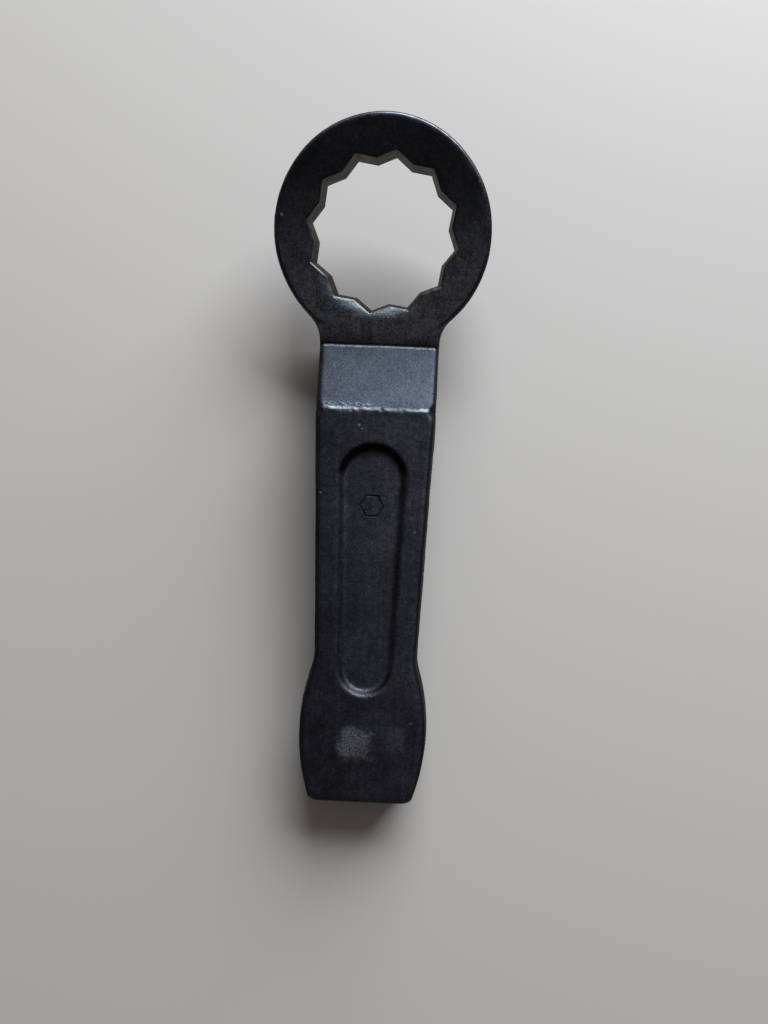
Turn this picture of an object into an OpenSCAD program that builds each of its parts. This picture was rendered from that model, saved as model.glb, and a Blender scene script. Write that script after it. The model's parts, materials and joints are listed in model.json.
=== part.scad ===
// One-piece forged slogging ring spanner: a 12-point ring, a cranked neck and a
// tapered shank that ends in a flared striking block. It is drawn in the ring's own
// frame (lower ring face at z = 0, shank towards -Y) and then laid down at rest.

/* [Ring] */
// Distance across the flats of the 12-point opening
across_flats = 70.6; // [60:0.1:76]
// Thickness of the ring between its two faces
ring_t = 31; // [26:0.5:36]
// Outer diameter of the ring at its parting line
ring_d = 118; // [112:0.2:126]
// Turn of the 12 points away from the shank's line, in degrees
point_turn = 8.2; // [0:0.1:30]

/* [Neck] */
// Distance from the ring's centre to the foot of the neck's slope
neck_start = 57; // [54:0.5:62]
// Rise of the neck's slope above the ring's face, in degrees
neck_angle = 48; // [40:1:55]
// Length of the neck's slope, from its foot to the ridge
neck_length = 44.5; // [38:0.5:50]
// Width of the neck where it leaves the ring
neck_w = 68.6; // [64:0.2:72]
// Radius of the web between the ring and the neck's sides
web_r = 18; // [14:1:22]

/* [Shank] */
// Rise of the shank above the ring's face, in degrees
shank_angle = 20; // [12:1:25]
// Length from the ridge to the end face
shank_length = 204.5; // [190:0.5:220]
// Thickness of the neck, the shank and the striking block
shank_t = 28; // [24:0.5:31]
// Width of the shank at the ridge
shank_w = 65; // [60:0.5:68]
// How fast each side of the shank narrows, in degrees
shank_taper = 2.2; // [1:0.1:3]

/* [Striking block] */
// Greatest width of the block
block_w = 68.2; // [64:0.2:74]
// Distance from the block's widest place to the end face
block_back = 35; // [28:0.5:40]
// Radius of the block's sides ahead of the widest place
block_front_r = 100; // [80:5:120]
// Radius of the block's sides behind the widest place
block_rear_r = 95; // [85:5:180]
// Slope of the flare between the waist and the block, in degrees
flare_angle = 16.3; // [14:0.1:18]
// Radius of the waist where the flare begins
waist_r = 25; // [15:1:35]
// Radius of the block's end corners, seen from above
corner_r = 5; // [3:0.5:7]

/* [Pockets] */
// Depth of the recess in each face of the shank
pocket_depth = 3.6; // [2:0.1:6]
// Radius of the recess's rim at the neck end
pocket_r_neck = 18.2; // [14:0.1:20]
// Radius of the recess's rim at the block end
pocket_r_block = 14.8; // [12:0.1:18]
// Distance from the ridge to the recess's rim
pocket_start = 17.3; // [12:0.1:25]
// Length of the recess along the shank
pocket_length = 132.3; // [120:0.1:140]
// Width of the recess's sloping wall
pocket_wall = 3.4; // [2:0.1:5]

/* [Size mark] */
// Width across the flats of the stamped hexagon
mark_size = 12; // [8:0.5:14]
// Width of the stamped line
mark_line = 1; // [0.6:0.1:1.6]
// Depth of the stamped line
mark_depth = 0.5; // [0.2:0.1:0.8]
// Distance from the ridge to the hexagon's middle
mark_place = 50; // [40:1:70]

/* [Forging] */
// Radius of the forged edges
edge_r = 2.5; // [1.5:0.1:4]
// Draft of the sides, away from the parting line, in degrees
draft = 6; // [3:0.5:8]
// Radius of the bend under the foot of the neck
heel_r = 8; // [5:0.5:12]
// Radius of the hollow under the ridge
hollow_r = 14; // [8:1:20]
// Radius of the crisp creases on the upper side
crease_r = 1.2; // [0.6:0.1:2]

/* [Hidden] */

forged_black = [0.13, 0.13, 0.14];
ARC = 3;            // steps in each rounded edge
BEND = 4;           // steps in each bend of the neck
slack = 1;          // how far a cutting solid passes the face that it cuts
web_bite = 0.4;     // how far the web starts inside the ring's side

// Directions of travel from the ring to the end face, in the Y-Z plane
along_ring = 180;
along_neck = 180 - neck_angle;
along_shank = 180 - shank_angle;

function dir(a) = [cos(a), sin(a)];
function below(a) = [-sin(a), cos(a)];

// Where the line through p along angle a meets the line through q along angle b
function meet(p, a, q, b) =
    let (d = dir(a), e = dir(b), g = q - p)
    p + d * (g.x * e.y - g.y * e.x) / (d.x * e.y - d.y * e.x);

// Points of the arc of radius r that rounds the corner p between angles a and b
function bend(p, a, b, r, steps) =
    let (s = sign(b - a), start = p - dir(a) * r * tan(abs(b - a) / 2),
         c = start + s * r * below(a))
    [for (i = [0:steps]) c - s * r * below(a + (b - a) * i / steps)];

// Right half of a drafted section of half width w and thickness t, top to bottom
function half_section(w, t) =
    let (up = t / 2 - edge_r, cx = w - up * tan(draft) - edge_r / cos(draft))
    concat(
        [for (i = [ARC:-1:0]) let (a = draft + (90 - draft) * i / ARC)
            [cx + edge_r * cos(a), up + edge_r * sin(a)]],
        [[w, 0]],
        [for (i = [0:ARC]) let (a = draft + (90 - draft) * i / ARC)
            [cx + edge_r * cos(a), -up - edge_r * sin(a)]]);

// The four corners of the side view, on the upper side and under it
foot_top = [-neck_start, ring_t];
ridge_top = foot_top + neck_length * dir(along_neck);
end_top = ridge_top + shank_length * dir(along_shank);
neck_under = foot_top + shank_t * below(along_neck);
shank_under = ridge_top + shank_t * below(along_shank);
foot_under = meet([0, 0], along_ring, neck_under, along_neck);
ridge_under = meet(neck_under, along_neck, shank_under, along_shank);
end_under = end_top + shank_t * below(along_shank);

// Half width of the web between the ring and the neck, as an arc tangent to both
ring_r = ring_d / 2;
web_x = neck_w / 2 + web_r;
web_from = ring_r - web_bite;
web_y = -sqrt(pow(web_from + web_r, 2) - pow(web_x, 2));
root_y = web_y * web_from / (web_from + web_r);
function web_half(y) = web_x - sqrt(pow(web_r, 2) - pow(y - web_y, 2));

// Half width of the shank at distance s from the ridge: taper, waist, flare, block, corner
wide_s = shank_length - block_back;
front_s = wide_s - block_front_r * sin(flare_angle);
front_half = block_w / 2 - block_front_r * (1 - cos(flare_angle));
waist_s = (shank_w / 2 - front_half + front_s * tan(flare_angle))
    / (tan(flare_angle) + tan(shank_taper));
waist_half = shank_w / 2 - waist_s * tan(shank_taper);
waist = bend([waist_s, waist_half], -shank_taper, flare_angle, waist_r, BEND);
corner_s = shank_length - corner_r;
corner_half = block_w / 2 - block_rear_r
    + sqrt(pow(block_rear_r, 2) - pow(corner_s - wide_s, 2)) - corner_r;
function block_half(s) =
    s < wide_s
        ? block_w / 2 - block_front_r + sqrt(pow(block_front_r, 2) - pow(s - wide_s, 2))
        : s < corner_s
            ? block_w / 2 - block_rear_r + sqrt(pow(block_rear_r, 2) - pow(s - wide_s, 2))
            : corner_half + sqrt(max(0, pow(corner_r, 2) - pow(s - corner_s, 2)));

// Stations of the neck and shank: [upper point, lower point, half width]
root = [for (i = [0:BEND]) let (y = root_y + (web_y - root_y) * i / BEND)
    [[y, ring_t], [y, 0], web_half(y)]];
foot = let (up = bend(foot_top, along_ring, along_neck, crease_r, BEND),
            low = bend(foot_under, along_ring, along_neck, heel_r, BEND))
    [for (i = [0:BEND]) [up[i], low[i], neck_w / 2 - 0.2 * i / BEND]];
ridge = let (up = bend(ridge_top, along_neck, along_shank, crease_r, BEND),
             low = bend(ridge_under, along_neck, along_shank, hollow_r, BEND))
    [for (i = [0:BEND]) [up[i], low[i], shank_w / 2]];

function on_shank(s, half, thin = 0) =
    let (p = ridge_top + s * dir(along_shank), n = below(along_shank))
    [p + thin * n, p + (shank_t - thin) * n, half];

block_steps = 7;
taper_part = [for (s = [waist[0].x * 0.3, waist[0].x * 0.65])
    on_shank(s, shank_w / 2 - s * tan(shank_taper))];
waist_part = [for (p = waist) on_shank(p.x, p.y)];
front_part = [for (i = [0:block_steps - 1])
    let (s = front_s + (wide_s - front_s) * i / block_steps) on_shank(s, block_half(s))];
rear_part = [for (i = [0:block_steps])
    let (s = wide_s + (corner_s - wide_s) * i / block_steps) on_shank(s, block_half(s))];
end_part = [for (i = [0:BEND])
    let (s = shank_length - edge_r + edge_r * sin(90 * i / BEND))
    on_shank(s, block_half(s), edge_r * (1 - cos(90 * i / BEND)))];
stations = concat(root, foot, ridge, taper_part, waist_part, front_part, rear_part, end_part);

// One closed ring of points in space for a station
function loop(st) =
    let (mid = (st[0] + st[1]) / 2, t = norm(st[0] - st[1]), up = (st[0] - st[1]) / t,
         right = half_section(st[2], t), n = len(right))
    concat(
        [for (p = right) [p.x, mid.x + p.y * up.x, mid.y + p.y * up.y]],
        [for (i = [n - 1:-1:0]) let (p = right[i])
            [-p.x, mid.x + p.y * up.x, mid.y + p.y * up.y]]);

// The pose at rest: the heel of the neck and the lower edge of the end face touch the floor
heel_centre = [foot_under.x + heel_r * tan(neck_angle / 2), heel_r];
end_centre = end_under - edge_r * (dir(along_shank) + below(along_shank));
rest_line = end_centre - heel_centre;
rest_tilt = atan2(rest_line.y, -rest_line.x) + asin((heel_r - edge_r) / norm(rest_line));
rest_lift = heel_r - (heel_centre.x * sin(rest_tilt) + heel_centre.y * cos(rest_tilt));

// The far side of the ring and the tip of the block, for the middle of the length
rim_centre = [ring_r - (ring_t / 2 - edge_r) * tan(draft) - edge_r / cos(draft), edge_r];
tip_centre = end_top - edge_r * (dir(along_shank) - below(along_shank));
far_y = rim_centre.x * cos(rest_tilt) - rim_centre.y * sin(rest_tilt) + edge_r;
near_y = tip_centre.x * cos(rest_tilt) - tip_centre.y * sin(rest_tilt) - edge_r;

module at_rest() {
    translate([0, -(far_y + near_y) / 2, rest_lift]) rotate([rest_tilt, 0, 0]) children();
}

// Places children on the shank: origin on the ridge, -Y to the end face, +Z out of the top face
module on_top_of_shank() {
    translate([0, ridge_top.x, ridge_top.y]) rotate([-shank_angle, 0, 0]) children();
}

// The ring with drafted sides and rounded rims, solid through the middle
module ring_blank() {
    core_r = across_flats / 4;
    profile = concat([[core_r, ring_t / 2]], half_section(ring_r, ring_t),
        [[core_r, -ring_t / 2]]);
    translate([0, 0, ring_t / 2]) rotate_extrude($fn = 96) polygon(profile);
}

// The neck, shank and striking block, swept through the stations
module neck_and_shank() {
    loops = [for (st = stations) loop(st)];
    m = len(loops[0]);
    n = len(loops);
    sides = [for (j = [0:n - 2], i = [0:m - 1]) let (k = (i + 1) % m)
        [j * m + i, j * m + k, (j + 1) * m + k, (j + 1) * m + i]];
    caps = [[for (i = [m - 1:-1:0]) i], [for (i = [0:m - 1]) (n - 1) * m + i]];
    polyhedron([for (l = loops, p = l) p], concat(sides, caps), convexity = 6);
}

// The 12-point opening: two hexagons' corners, a point every 30 degrees
module twelve_points() {
    point_r = across_flats / 2 / cos(30);
    root_r = across_flats / 2 / cos(15);
    outline = [for (i = [0:23]) let (r = i % 2 == 0 ? point_r : root_r, a = 15 * i + point_turn)
        [r * sin(a), r * cos(a)]];
    translate([0, 0, -slack]) linear_extrude(ring_t + 2 * slack) polygon(outline);
}

// A round-ended recess with sloping walls, its rim on z = 0 and its floor under it
module pocket() {
    grow = pocket_wall / pocket_depth;
    neck_s = pocket_start + pocket_r_neck;
    block_s = pocket_start + pocket_length - pocket_r_block;
    hull() for (end = [[neck_s, pocket_r_neck], [block_s, pocket_r_block]])
        translate([0, -end[0], -pocket_depth]) cylinder(h = pocket_depth + slack,
            r1 = end[1] - pocket_wall, r2 = end[1] + slack * grow, $fn = 40);
}

// A hexagon outline cut into the recess's floor
module size_mark() {
    translate([0, -mark_place, -pocket_depth - mark_depth]) difference() {
        cylinder(h = mark_depth + slack, d = mark_size / cos(30), $fn = 6);
        translate([0, 0, -slack])
            cylinder(h = mark_depth + 3 * slack, d = (mark_size - 2 * mark_line) / cos(30), $fn = 6);
    }
}

module spanner_body() {
    color(forged_black) at_rest() difference() {
        union() {
            ring_blank();
            neck_and_shank();
        }
        twelve_points();
        on_top_of_shank() {
            pocket();
            size_mark();
        }
        on_top_of_shank() translate([0, 0, -shank_t]) mirror([0, 0, 1]) pocket();
    }
}

spanner_body();
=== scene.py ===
"""Looks for a forged 12-point slogging ring spanner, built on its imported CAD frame."""
import json
import math

import bmesh
import bpy
import numpy as np
from mathutils import Matrix, Vector, noise
from mathutils.kdtree import KDTree


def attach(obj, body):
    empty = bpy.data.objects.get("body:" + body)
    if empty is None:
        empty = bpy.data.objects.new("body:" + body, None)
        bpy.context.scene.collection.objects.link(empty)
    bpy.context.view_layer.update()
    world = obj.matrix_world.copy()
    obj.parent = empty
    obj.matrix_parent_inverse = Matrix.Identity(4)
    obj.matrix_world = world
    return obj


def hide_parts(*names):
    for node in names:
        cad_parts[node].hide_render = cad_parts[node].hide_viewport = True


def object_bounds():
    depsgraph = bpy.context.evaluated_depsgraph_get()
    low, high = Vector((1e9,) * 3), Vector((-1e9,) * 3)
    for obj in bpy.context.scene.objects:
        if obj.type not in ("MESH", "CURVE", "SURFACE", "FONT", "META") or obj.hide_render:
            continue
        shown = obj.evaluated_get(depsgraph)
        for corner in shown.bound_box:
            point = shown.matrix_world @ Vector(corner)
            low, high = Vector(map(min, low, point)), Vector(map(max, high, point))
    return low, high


MM = 0.001

# The forged skin
VOXEL = 0.65 * MM               # spacing of the skin's points
SMOOTH_PASSES = 9               # passes that round the skin's edges
SMOOTH_IN = 0.6                 # how far each pass moves a point towards its neighbours' mean
SMOOTH_BACK = 0.25              # and how far it then moves it back
CRISP_SHARE = 0.8               # how much of the rounding the crisp edges are spared
CRISP_FOOT = (1 * MM, 4 * MM)   # distances from the neck's foot between which that fades
CRISP_RIM = (3 * MM, 6 * MM)    # the same, from the ring's upper rim
KEPT_SHARE = 0.45               # share of the skin's triangles kept where it is nearly flat
SHARP_ANGLE = math.radians(38)  # edges that turn more than this are shaded sharp
UNEVENNESS = (                  # height, size, octaves and offset of the forging's bumps
    (0.16 * MM, 26 * MM, 1, 0.0),
    (0.07 * MM, 8 * MM, 2, 3.1),
    (0.022 * MM, 2.4 * MM, 2, 9.7),
)

# Random dents; their radii and depths are in millimetres
SEED = 7
NICK_COUNT = 130
NICK_RADII = (0.7, 2.0)
NICK_DEPTHS = (0.06, 0.2)
RIDGE_CHIP_COUNT = 26
RIDGE_CHIP_RADII = (1.2, 3.2)
RIDGE_CHIP_DEPTHS = (0.2, 0.6)
RIDGE_CHIP_ACROSS = (-30, -16, 30)  # the least, likeliest and greatest, in millimetres
RIDGE_CHIP_PAST = (-0.4, 2.4)       # how far past the ridge, in millimetres

# The shank and the ring, as the CAD has them
SHANK_HALF = 14 * MM         # half the shank's thickness
RIDGE_FROM_END = 204.5 * MM  # from the end face to the ridge
RING_R = 59 * MM
FOOT_OUT = -57 * MM          # where the neck leaves the ring's upper face

# The 12-point opening
ACROSS_FLATS = 70.6 * MM
POINT_TURN = math.radians(8.2)
LEAD_IN = 0.45 * MM           # chamfer where the opening meets the lower face
LIP = 0.75 * MM               # chamfer at the upper face, which follows the worn edge
SIDE_STEPS = 6                # steps in each side of the outline
OPENING_REACH = 42.5 * MM     # the walls and chamfers lie inside this radius
WALL_FACING = 0.8             # they face along the ring's axis less than this, of 1
LIP_FACING = 0.3              # and the upper chamfer faces up it more than this
PLUG_R = ACROSS_FLATS * 0.62  # fills the opening while the skin is shaped
PLUG_POINTS = 96

# Bevel round the ring's upper rim
BEVEL = 2.2 * MM
BEVEL_SLOPE = 64         # degrees from the upper face
BEVEL_ENDS = (115, 140)  # degrees round from the far side, where it fades out
OUTER_SHARE = 0.8        # it lies outside this share of the ring's radius

# Bevel along the shank's side edges
DRAFT = math.radians(6)  # lean of the forged sides
TOP_BEVEL = 1.7 * MM
RIDGE_BEVEL = 2.4 * MM   # how much more is cut off at the ends of the ridge
RIDGE_BLEND = 4 * MM     # how far short of the ridge that begins
UNDER_BEVEL = 1.8 * MM
NECK_REACH = 18 * MM     # how far past the ridge the upper bevel is looked for
HOLLOW_REACH = 19 * MM   # how far short of the ridge the lower bevel stops

# The trimmed flash on the parting line, round the shank's sides
FLASH_HEIGHT = 0.32 * MM
FLASH_EDGE = (0.2 * MM, 1.1 * MM)  # distances from its middle between which it fades
FLASH_WANDER = 0.8 * MM            # how far it wanders from mid thickness
FLASH_WAVE = 19 * MM               # how far along it goes for each radian of that
FLASH_FROM_END = 4 * MM            # it lies farther from the end face than this
FLASH_ACROSS = 20 * MM             # and farther across than this

# The opening's upper edge, rounded by wear beside the neck
WORN_R = 46 * MM
WORN_W = 9 * MM
WORN_DEPTH = 2.1 * MM
WORN_STEEP = 0.93       # how near its steepest the rounding gets, of 1
WORN_RAGGED = 0.22      # how much its depth varies
WORN_LEFT = (-75, -35)  # degrees round from the neck between which it grows to full depth
WORN_RIGHT = (12, 50)   # and between which it fades again
WORN_LEAST = 0.12       # its share round the rest of the opening

# The stamped hexagon, measured from the end face
MARK_SIZE = 12 * MM
MARK_LINE = 1.4 * MM       # width of the groove at the surface
MARK_FLAT = 0.4 * MM       # width of its floor
MARK_FROM_END = 154.5 * MM
POCKET_DEPTH = 3.6 * MM
MARK_DEPTH = 0.65 * MM
PATCH_R = MARK_SIZE * 0.7  # fills the mark while the skin is shaped
PATCH_POINTS = 32

# The recess's round ends, measured from the end face
POCKET_MIDDLE = 69.7 * MM
POCKET_R = 14.8 * MM
NECK_POCKET_MIDDLE = 169 * MM
NECK_POCKET_R = 18.2 * MM
POCKET_REACH = 21 * MM     # nothing of the recess lies farther across than this
POCKET_FROM_END = 30 * MM  # nor nearer the end face than this

# Wear on edges, where the skin stands out of its surroundings
WEAR_PASSES = 6                        # passes that average the surroundings
WEAR_HEIGHTS = (0.04 * MM, 0.30 * MM)  # no wear at the first, and full wear at the second

# How far a face turns to an axis, of 1, where it begins and ends counting as an outer side
RING_SIDE = (0.6, 0.9)    # the ring's axis: wholly a side below this span, and not one above it
SHANK_SIDE = (0.35, 0.7)  # across the shank: not a side below it, and wholly one above it
END_SIDE = (0.5, 0.8)     # along the shank, towards the end face: the same

# Light chips through the scale, in millimetres
RING_CHIPS = (          # across and out from the ring's middle, and size
    (-53, 8, 1.3), (16, -52.5, 0.7), (25.5, -52.8, 0.6), (31, -44, 0.6),
)
SHANK_CHIPS = (         # across, short of the ridge, and size
    (-8, 8, 0.9), (-6.5, 10, 0.6), (-27, 44, 1.0), (23, 63, 0.9),
    (9, 67, 0.8), (9, 76, 0.7), (25, 162, 0.7),
)
PATCH_SQUARENESS = 5.0  # of the struck patches; 2 is an ellipse

# Colours of the steel
DARK_SCALE = (0.008, 0.008, 0.010, 1)
COOL_SCALE = (0.200, 0.218, 0.275, 1)
WARM_SCALE = (0.218, 0.210, 0.222, 1)
SLOPE_SCALE = (0.188, 0.214, 0.262, 1)
HANDLE_SCALE = (0.213, 0.213, 0.260, 1)
RUST = (0.030, 0.019, 0.018, 1)
# Painted shade for the crease at the neck's foot
CREASE_SHADE = (0.006, 0.004, 0.004, 1)
WORN_STEEL = (0.24, 0.25, 0.27, 1)
RIDGE_STEEL = (0.21, 0.22, 0.24, 1)
# The ring's rim: a line that is partly worn and partly painted highlight, painted shade on the far
# bevel, and a painted dark line beside the neck
RIM_WEAR_AND_HIGHLIGHT = (0.26, 0.29, 0.32, 1)
BEVEL_SHADE = (0.014, 0.017, 0.019, 1)
NECK_LINE_SHADE = (0.008, 0.007, 0.008, 1)
# Painted shade in the recess: a dark line along its wall, and a dark band under its rim by the neck
POCKET_SEAM_SHADE = (0.012, 0.012, 0.014, 1)
POCKET_SHADE = (0.004, 0.003, 0.004, 1)
CHIP = (0.30, 0.30, 0.30, 1)
SPECK = (0.26, 0.26, 0.25, 1)
PIT = (0.008, 0.008, 0.009, 1)
STRUCK_STEEL = (0.29, 0.295, 0.30, 1)
# Scale rubbed thin round the opening by the neck, its light bluish colour partly a painted
# highlight
RUBBED_SCALE_AND_SHEEN = (0.42, 0.50, 0.57, 1)
# A painted reflection of a brown floor on the opening's walls
WALL_BROWN_REFLECTION = (0.028, 0.024, 0.022, 1)
WALL_DARK = (0.012, 0.010, 0.009, 1)
WALL_LINES = (0.050, 0.046, 0.042, 1)
LIP_DULL = (0.020, 0.018, 0.017, 1)
# Bright bare steel of the upper chamfer, partly a painted highlight
LIP_BRIGHT = (0.15, 0.155, 0.165, 1)
SCALE_TINT = (0.5, 0.5, 0.52, 1)
WALL_TINT = (0.58, 0.55, 0.52, 1)
LIP_TINT = (0.58, 0.57, 0.56, 1)

# Floor and light
FLOOR_HALF = 4.0
FLOOR_COLOUR = (0.60, 0.545, 0.50, 1)
FLOOR_ROUGHNESS = 0.75
SKY_COLOUR = (1.0, 0.97, 0.94, 1)
SKY_STRENGTH = 0.10

# Camera: it looks nearly straight down, from a place a little short of the ring
CAMERA_AT = Vector((0.0102, -0.0705, 0.3998))
CAMERA_LOOKS_AT = Vector((0.0063, -0.0247, 0.0))
CAMERA_ROLL = math.radians(2.4)
FOCAL_LENGTH = 24.26  # millimetres, as the sensor's width
SENSOR = 36.0

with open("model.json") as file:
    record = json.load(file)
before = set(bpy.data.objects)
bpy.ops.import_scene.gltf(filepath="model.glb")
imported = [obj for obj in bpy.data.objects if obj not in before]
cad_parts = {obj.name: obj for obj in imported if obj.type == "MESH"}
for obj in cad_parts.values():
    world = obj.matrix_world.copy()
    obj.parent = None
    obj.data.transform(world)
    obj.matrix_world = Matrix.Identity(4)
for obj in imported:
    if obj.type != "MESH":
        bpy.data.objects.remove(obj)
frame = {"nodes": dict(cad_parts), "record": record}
cad_low, cad_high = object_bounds()


# ---------------------------------------------------------------- frame of the part

class Places:
    """Axes and points of the spanner, taken from its mounts."""

    def __init__(self, record):
        mounts = {m["name"]: m for m in record["mounts"]}
        self.across = Vector((1, 0, 0))
        self.ring_up = -Vector(mounts["nut_socket"]["axis"]).normalized()
        self.ring_out = self.ring_up.cross(self.across)
        self.ring_mid = Vector(mounts["nut_socket"]["pos_m"])
        lower = Vector(mounts["ring_lower_face"]["pos_m"])
        upper = Vector(mounts["ring_upper_face"]["pos_m"])
        self.ring_half = (upper - lower).dot(self.ring_up) / 2
        self.end = Vector(mounts["block_end_face"]["pos_m"])
        self.to_end = Vector(mounts["block_end_face"]["axis"]).normalized()
        self.shank_up = self.to_end.cross(self.across)

    def ring_matrix(self):
        """Places things drawn with Z along the ring's axis and Y away from the shank."""
        turn = Matrix((self.across, self.ring_out, self.ring_up)).transposed()
        return Matrix.Translation(self.ring_mid) @ turn.to_4x4()

    def shank_matrix(self, from_end, height):
        """Places things on the shank, with Z out of its upper face and Y to the neck."""
        turn = Matrix((self.across, -self.to_end, self.shank_up)).transposed()
        point = self.end - self.to_end * from_end + self.shank_up * height
        return Matrix.Translation(point) @ turn.to_4x4()


places = Places(frame["record"])


# ---------------------------------------------------------------- mesh helpers

def add_object(name, mesh):
    """A new object in the scene."""
    obj = bpy.data.objects.new(name, mesh)
    bpy.context.scene.collection.objects.link(obj)
    return obj


def level(outline, z):
    """The outline's points at the height z."""
    return [(x, y, z) for x, y in outline]


def prism(name, levels, matrix):
    """A closed solid through levels, each a list of the same number of points."""
    bm = bmesh.new()
    rings = [[bm.verts.new(point) for point in points] for points in levels]
    count = len(rings[0])
    for low, high in zip(rings, rings[1:]):
        for i in range(count):
            k = (i + 1) % count
            bm.faces.new((low[i], low[k], high[k], high[i]))
    bm.faces.new(list(reversed(rings[0])))
    bm.faces.new(rings[-1])
    bm.transform(matrix)
    bmesh.ops.recalc_face_normals(bm, faces=bm.faces)
    mesh = bpy.data.meshes.new(name)
    bm.to_mesh(mesh)
    bm.free()
    return add_object(name, mesh)


def circle(radius, count):
    """Points of a circle, anticlockwise."""
    angles = [2 * math.pi * i / count for i in range(count)]
    return [(radius * math.cos(a), radius * math.sin(a)) for a in angles]


def baked(obj):
    """The object, with its modifiers applied to its mesh."""
    graph = bpy.context.evaluated_depsgraph_get()
    mesh = bpy.data.meshes.new_from_object(obj.evaluated_get(graph))
    obj.modifiers.clear()
    obj.data = mesh
    return obj


def joined(objects, name):
    """One object from several closed solids that may overlap."""
    bm = bmesh.new()
    for obj in objects:
        bm.from_mesh(obj.data)
    bmesh.ops.remove_doubles(bm, verts=bm.verts, dist=1e-6)
    mesh = bpy.data.meshes.new(name)
    bm.to_mesh(mesh)
    bm.free()
    return add_object(name, mesh)


def drop(*objects):
    """Deletes helper objects."""
    for obj in objects:
        bpy.data.objects.remove(obj)


def points_of(mesh):
    """The mesh's points, one row each."""
    co = np.empty(len(mesh.vertices) * 3, np.float32)
    mesh.vertices.foreach_get("co", co)
    return co.reshape(-1, 3).astype(float)


def normals_of(mesh):
    """The direction out of the mesh at each point."""
    no = np.empty(len(mesh.vertices) * 3, np.float32)
    mesh.vertex_normals.foreach_get("vector", no)
    return no.reshape(-1, 3).astype(float)


def set_points(mesh, co):
    """Moves the mesh's points to new places."""
    mesh.vertices.foreach_set("co", co.astype(np.float32).ravel())
    mesh.update()


class Neighbours:
    """Averages over each point's neighbours, along the mesh's edges."""

    def __init__(self, mesh):
        ends = np.empty(len(mesh.edges) * 2, np.int32)
        mesh.edges.foreach_get("vertices", ends)
        self.a, self.b = ends.reshape(-1, 2).T
        self.count = len(mesh.vertices)
        both = np.concatenate((self.a, self.b))
        self.degree = np.maximum(np.bincount(both, minlength=self.count), 1)

    def mean(self, values):
        """The mean of the neighbours' values at each point."""
        if values.ndim == 2:
            return np.stack([self.mean(column) for column in values.T], axis=1)
        total = np.bincount(self.a, values[self.b], self.count)
        total += np.bincount(self.b, values[self.a], self.count)
        return total / self.degree


def smoothstep(low, high, x):
    """0 below low, 1 above high, and a smooth rise between them."""
    t = np.clip((x - low) / (high - low), 0, 1)
    return t * t * (3 - 2 * t)


def bumps(co, size, octaves, offset):
    """Smooth noise at each point, about -1 to 1, with features of the given size."""
    total = np.zeros(len(co))
    strength, scale = 1.0, 1 / size
    for _ in range(octaves):
        scaled = co * scale + offset
        total += strength * np.array([noise.noise(Vector(p)) for p in scaled])
        strength, scale = strength / 2, scale * 2
    return total


# ---------------------------------------------------------------- the spanner

def ring_coordinates(co):
    """Distance across, out from the shank, and up from the ring's middle plane."""
    away = co - np.array(places.ring_mid)
    axes = np.array([places.across, places.ring_out, places.ring_up])
    return away @ axes.T


def shank_coordinates(co):
    """Distance across, from the end face towards the neck, and up from the shank's middle."""
    away = co - np.array(places.end)
    axes = np.array([places.across, -places.to_end, places.shank_up])
    return away @ axes.T


def closed_blank():
    """The CAD solid with its opening and its mark filled, as one even skin."""
    node = frame["nodes"]["spanner_body"]
    half = places.ring_half
    over_opening = circle(PLUG_R, PLUG_POINTS)
    plug = prism("plug", [level(over_opening, -half), level(over_opening, half)],
                 places.ring_matrix())
    floor = SHANK_HALF - POCKET_DEPTH
    over_mark = circle(PATCH_R, PATCH_POINTS)
    patch = prism("patch", [level(over_mark, floor - 2 * MM), level(over_mark, floor)],
                  places.shank_matrix(MARK_FROM_END, 0))
    blank = joined((node, plug, patch), "spanner_forging")
    drop(plug, patch)
    remesh = blank.modifiers.new("skin", "REMESH")
    remesh.mode = "VOXEL"
    remesh.voxel_size = VOXEL
    return baked(blank)


def forge(obj):
    """Rounds the blank's edges and gives its faces the slight unevenness of a forging."""
    mesh = obj.data
    near = Neighbours(mesh)
    co = points_of(mesh)
    bevel_shank(co, 1, TOP_BEVEL, RIDGE_FROM_END + NECK_REACH)
    bevel_shank(co, -1, UNDER_BEVEL, RIDGE_FROM_END - HOLLOW_REACH)
    soften(co, near)
    bevel_ring(co)
    set_points(mesh, co)
    normal = normals_of(mesh)
    lift = np.zeros(len(co))
    for height, size, octaves, offset in UNEVENNESS:
        lift += height * bumps(co, size, octaves, offset)
    lift += parting_line(co)
    lift -= nicks(co) + ridge_chips(co)
    co += normal * lift[:, None]
    round_worn_rim(co)
    low, high = np.array(cad_low), np.array(cad_high)
    set_points(mesh, np.clip(co, low, high))
    return near


def soften(co, near):
    """Rounds every edge, and least those that stay crisp on the real forging."""
    ring = ring_coordinates(co)
    foot = np.hypot(ring[:, 1] - FOOT_OUT, ring[:, 2] - places.ring_half)
    radius = np.hypot(ring[:, 0], ring[:, 1])
    rim = np.hypot(radius - RING_R, ring[:, 2] - places.ring_half)
    crisp = np.maximum(1 - smoothstep(*CRISP_FOOT, foot), 1 - smoothstep(*CRISP_RIM, rim))
    share = (1 - CRISP_SHARE * crisp)[:, None]
    for _ in range(SMOOTH_PASSES):
        co += SMOOTH_IN * share * (near.mean(co) - co)
        co -= SMOOTH_BACK * share * (near.mean(co) - co)


def push_inside(co, depth, direction):
    """Moves the points that lie depth outside a surface back onto it."""
    outside = np.maximum(depth, 0)[:, None]
    co -= outside * direction


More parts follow.
